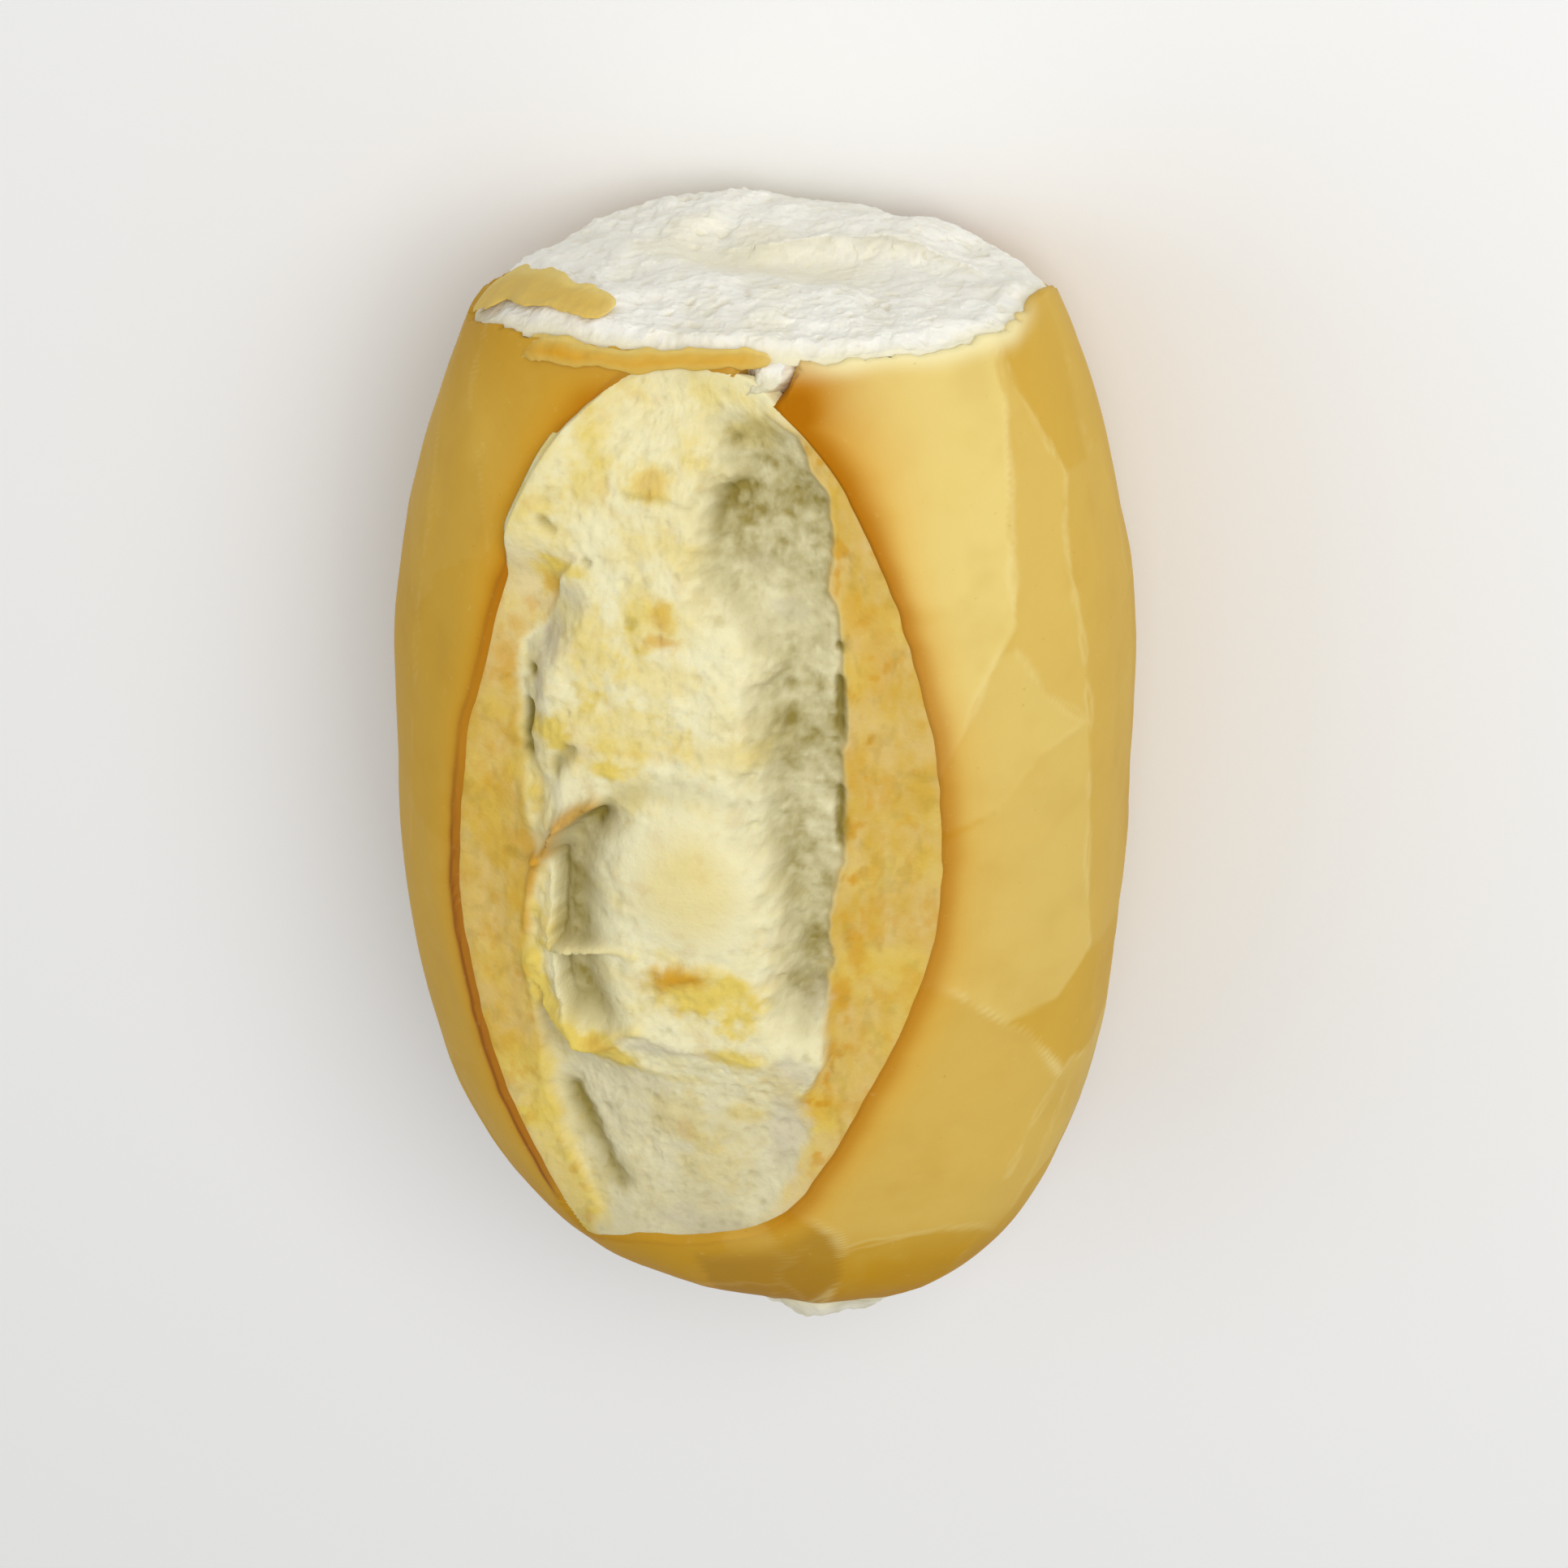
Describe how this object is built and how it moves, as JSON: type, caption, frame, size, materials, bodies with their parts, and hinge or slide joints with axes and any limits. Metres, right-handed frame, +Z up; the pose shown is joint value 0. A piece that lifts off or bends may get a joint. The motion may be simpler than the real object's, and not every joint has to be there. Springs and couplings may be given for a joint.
{
  "type": "mini baguette",
  "caption": "Short crusty bread roll with a long oval burst along its top and one end torn open to the white crumb.",
  "frame": {"origin": "middle of the roll's box at the base, on the surface that the roll lies on", "axes": "+Z up, towards the burst top; +Y along the roll, towards the torn end; +X the roll's right side seen from above with the torn end away"},
  "size_m": [0.0772, 0.1178, 0.0545],
  "materials": {
    "crust": "thin baked crust, pale gold to honey, satin where smooth, deeper orange at the lips of the burst",
    "crumb": "bare white to cream crumb, matte and porous, lightly toasted inside the burst"
  },
  "bodies": {
    "root": {"mini_baguette": "crust"}
  },
  "joints": []
}
